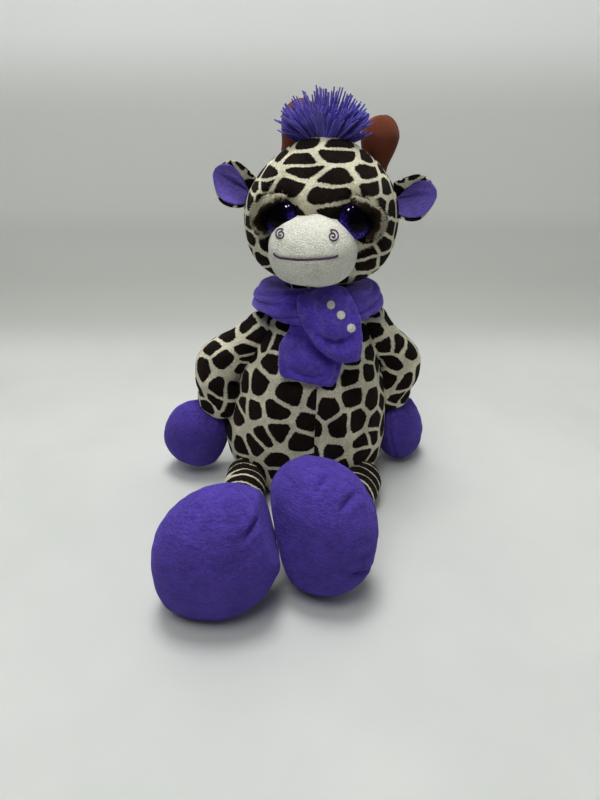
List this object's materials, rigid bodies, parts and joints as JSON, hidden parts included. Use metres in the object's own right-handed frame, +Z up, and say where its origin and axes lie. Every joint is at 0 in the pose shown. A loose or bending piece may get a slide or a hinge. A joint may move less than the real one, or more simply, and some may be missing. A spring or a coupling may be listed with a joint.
{
  "type": "plush giraffe",
  "caption": "Sitting plush giraffe with patch print body, plush hands and feet, suede horns, fringe tuft and a crossed scarf; limbs, head and ears move.",
  "frame": {"origin": "middle of the flat seat on the floor", "axes": "+Z up, the face and feet point along -Y, +X is the toy's own left side"},
  "size_m": [0.2596, 0.3714, 0.3448],
  "materials": {
    "patch_print": "short plush with dark brown patches on cream",
    "purple_plush": "short purple plush",
    "cream_plush": "brushed cream cloth with a fine sparkle",
    "brown_suede": "matt suede",
    "fringe": "cut purple strands",
    "eye_gloss": "clear dome over a dark pupil and a purple sparkle ring",
    "washer_plastic": "as moulded"
  },
  "bodies": {
    "torso": {"torso": "patch_print", "scarf_band": "purple_plush"},
    "neck": {"neck": "patch_print"},
    "head": {"head": "patch_print", "muzzle": "cream_plush", "hair_tuft": "fringe", "left_eye": "eye_gloss", "left_eye_washer": "washer_plastic", "left_eyelid": "patch_print", "right_eye": "eye_gloss", "right_eye_washer": "washer_plastic", "right_eyelid": "patch_print"},
    "scarf_under_end": {"scarf_under_end": "purple_plush"},
    "scarf_over_end": {"scarf_over_end": "purple_plush"},
    "tail": {"tail": "patch_print", "tail_tuft": "fringe"},
    "left_arm": {"left_arm": "patch_print", "left_hand": "purple_plush"},
    "left_leg": {"left_leg": "patch_print"},
    "left_foot": {"left_foot": "purple_plush"},
    "left_ear": {"left_ear_back": "patch_print", "left_ear_lining": "purple_plush"},
    "left_horn": {"left_horn": "brown_suede"},
    "right_arm": {"right_arm": "patch_print", "right_hand": "purple_plush"},
    "right_leg": {"right_leg": "patch_print"},
    "right_foot": {"right_foot": "purple_plush"},
    "right_ear": {"right_ear_back": "patch_print", "right_ear_lining": "purple_plush"},
    "right_horn": {"right_horn": "brown_suede"}
  },
  "joints": [
    {"name": "neck_turn", "type": "hinge", "parent": "torso", "child": "neck", "pos_m": [0.00949, 0.00768, 0.197], "axis": [0, 0, 1], "range_deg": [-25, 25]},
    {"name": "head_nod", "type": "hinge", "parent": "neck", "child": "head", "pos_m": [0.00949, 0.00768, 0.197], "axis": [-0.9962, 0.0872, 0], "range_deg": [-2, 12], "stiffness_Nm_per_rad": 1.5},
    {"name": "scarf_over_lift", "type": "hinge", "parent": "torso", "child": "scarf_over_end", "pos_m": [0.01049, -0.03739, 0.199], "axis": [-1, 0, 0], "range_deg": [0, 15]},
    {"name": "scarf_under_swing", "type": "hinge", "parent": "torso", "child": "scarf_under_end", "pos_m": [0.00949, -0.03639, 0.174], "axis": [0, 1, 0], "range_deg": [-10, 10], "stiffness_Nm_per_rad": 0.02},
    {"name": "tail_lift", "type": "hinge", "parent": "torso", "child": "tail", "pos_m": [-0.00454, 0.06834, 0.028], "axis": [1, 0, 0], "range_deg": [0, 60]},
    {"name": "left_shoulder", "type": "hinge", "parent": "torso", "child": "left_arm", "pos_m": [0.05773, 0.00967, 0.155], "axis": [-0.8191, -0.5736, 0], "range_deg": [0, 80]},
    {"name": "left_hip", "type": "hinge", "parent": "torso", "child": "left_leg", "pos_m": [0.04981, -0.05127, 0.01935], "axis": [-0.9659, 0, -0.2588], "range_deg": [-40, 10]},
    {"name": "left_ankle", "type": "hinge", "parent": "left_leg", "child": "left_foot", "pos_m": [0.02092, -0.12102, 0.01935], "axis": [0.9659, 0, 0.2588], "range_deg": [-20, 20], "stiffness_Nm_per_rad": 0.3},
    {"name": "left_ear_fold", "type": "hinge", "parent": "head", "child": "left_ear", "pos_m": [0.06981, 0.0014, 0.26444], "axis": [0, 0, -1], "range_deg": [-20, 20], "stiffness_Nm_per_rad": 0.02},
    {"name": "left_horn_tilt", "type": "hinge", "parent": "head", "child": "left_horn", "pos_m": [0.05655, 0.03189, 0.28547], "axis": [1, 0, 0], "range_deg": [-12, 12], "stiffness_Nm_per_rad": 0.1},
    {"name": "right_shoulder", "type": "hinge", "parent": "torso", "child": "right_arm", "pos_m": [-0.04138, 0.00238, 0.15], "axis": [-0.8191, 0.5736, 0], "range_deg": [0, 80]},
    {"name": "right_hip", "type": "hinge", "parent": "torso", "child": "right_leg", "pos_m": [-0.05694, -0.04425, 0.01935], "axis": [-0.9659, 0, -0.2588], "range_deg": [-40, 10]},
    {"name": "right_ankle", "type": "hinge", "parent": "right_leg", "child": "right_foot", "pos_m": [-0.06215, -0.14361, 0.01935], "axis": [0.9659, 0, 0.2588], "range_deg": [-20, 20], "stiffness_Nm_per_rad": 0.3},
    {"name": "right_ear_fold", "type": "hinge", "parent": "head", "child": "right_ear", "pos_m": [-0.04741, 0.01165, 0.26752], "axis": [0, 0, 1], "range_deg": [-20, 20], "stiffness_Nm_per_rad": 0.02},
    {"name": "right_horn_tilt", "type": "hinge", "parent": "head", "child": "right_horn", "pos_m": [-0.01222, 0.03788, 0.29818], "axis": [1, 0, 0], "range_deg": [-12, 12], "stiffness_Nm_per_rad": 0.1}
  ]
}
